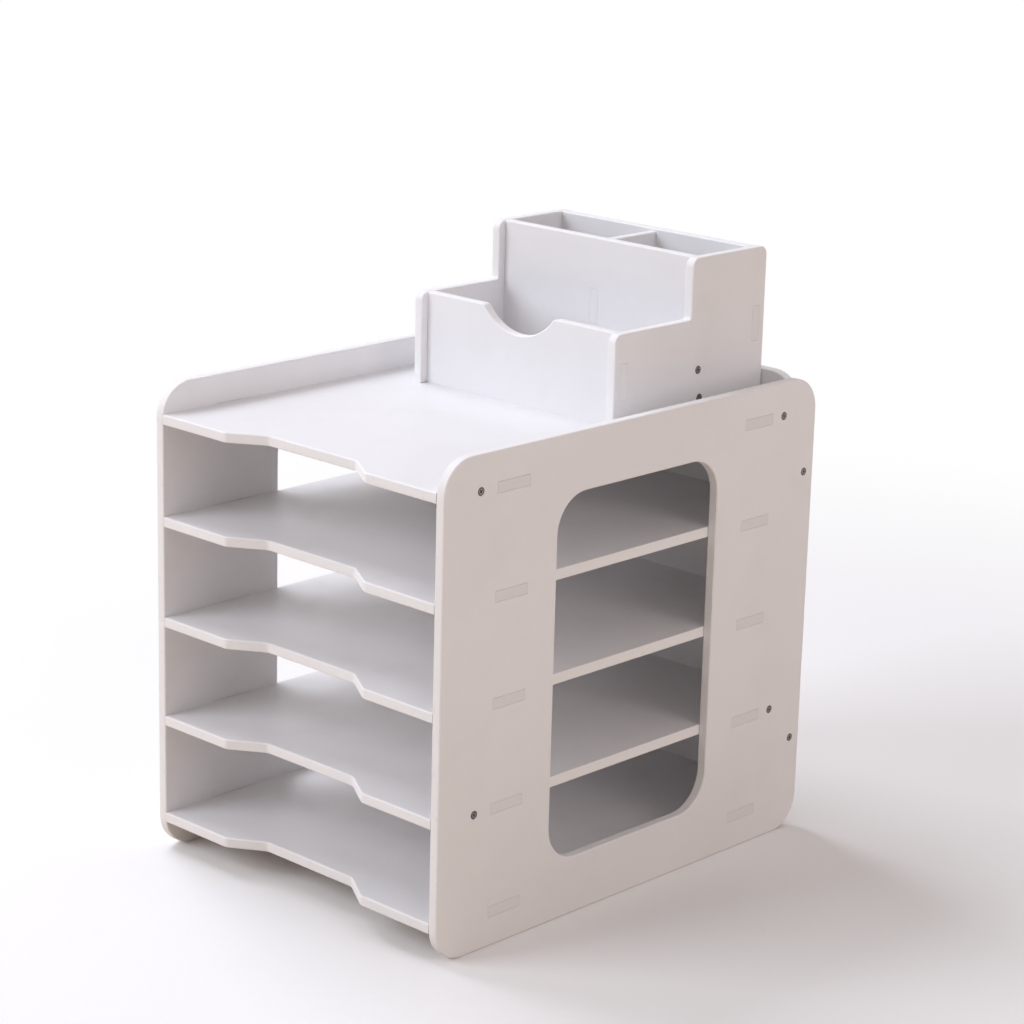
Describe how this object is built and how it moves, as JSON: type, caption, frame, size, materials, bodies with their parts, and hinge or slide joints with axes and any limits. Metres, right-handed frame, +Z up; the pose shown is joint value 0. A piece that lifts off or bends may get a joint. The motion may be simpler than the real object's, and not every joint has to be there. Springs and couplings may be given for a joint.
{
  "type": "desktop file rack with pen box",
  "caption": "Open desktop rack for flat paper with slotted side panels, cut-out windows and shelves with finger recesses, and a loose stepped pen box on top.",
  "frame": {"origin": "on the table, midway between the two side panels and midway between their front and rear edges", "axes": "+X to the right seen from the front, +Y to the back, +Z up"},
  "size_m": [0.2406, 0.32, 0.3681],
  "materials": {
    "white_board": "satin",
    "screw_steel": "satin"
  },
  "bodies": {
    "rack": {"left_side_panel": "white_board", "right_side_panel": "white_board", "top_board": "white_board", "upper_shelf": "white_board", "middle_shelf": "white_board", "lower_shelf": "white_board", "bottom_board": "white_board", "back_panel": "white_board", "left_board_screws": "screw_steel", "right_board_screws": "screw_steel", "left_back_screws": "screw_steel", "right_back_screws": "screw_steel"},
    "pen_box": {"box_left_wall": "white_board", "box_right_wall": "white_board", "box_front_wall": "white_board", "box_middle_wall": "white_board", "box_rear_wall": "white_board", "box_floor": "white_board", "box_divider": "white_board", "box_left_screws": "screw_steel", "box_right_screws": "screw_steel"}
  },
  "joints": [
    {"name": "pen_box_lift", "type": "slide", "parent": "rack", "child": "pen_box", "axis": [0, 0, 1], "range_m": [0, 0.06]}
  ]
}
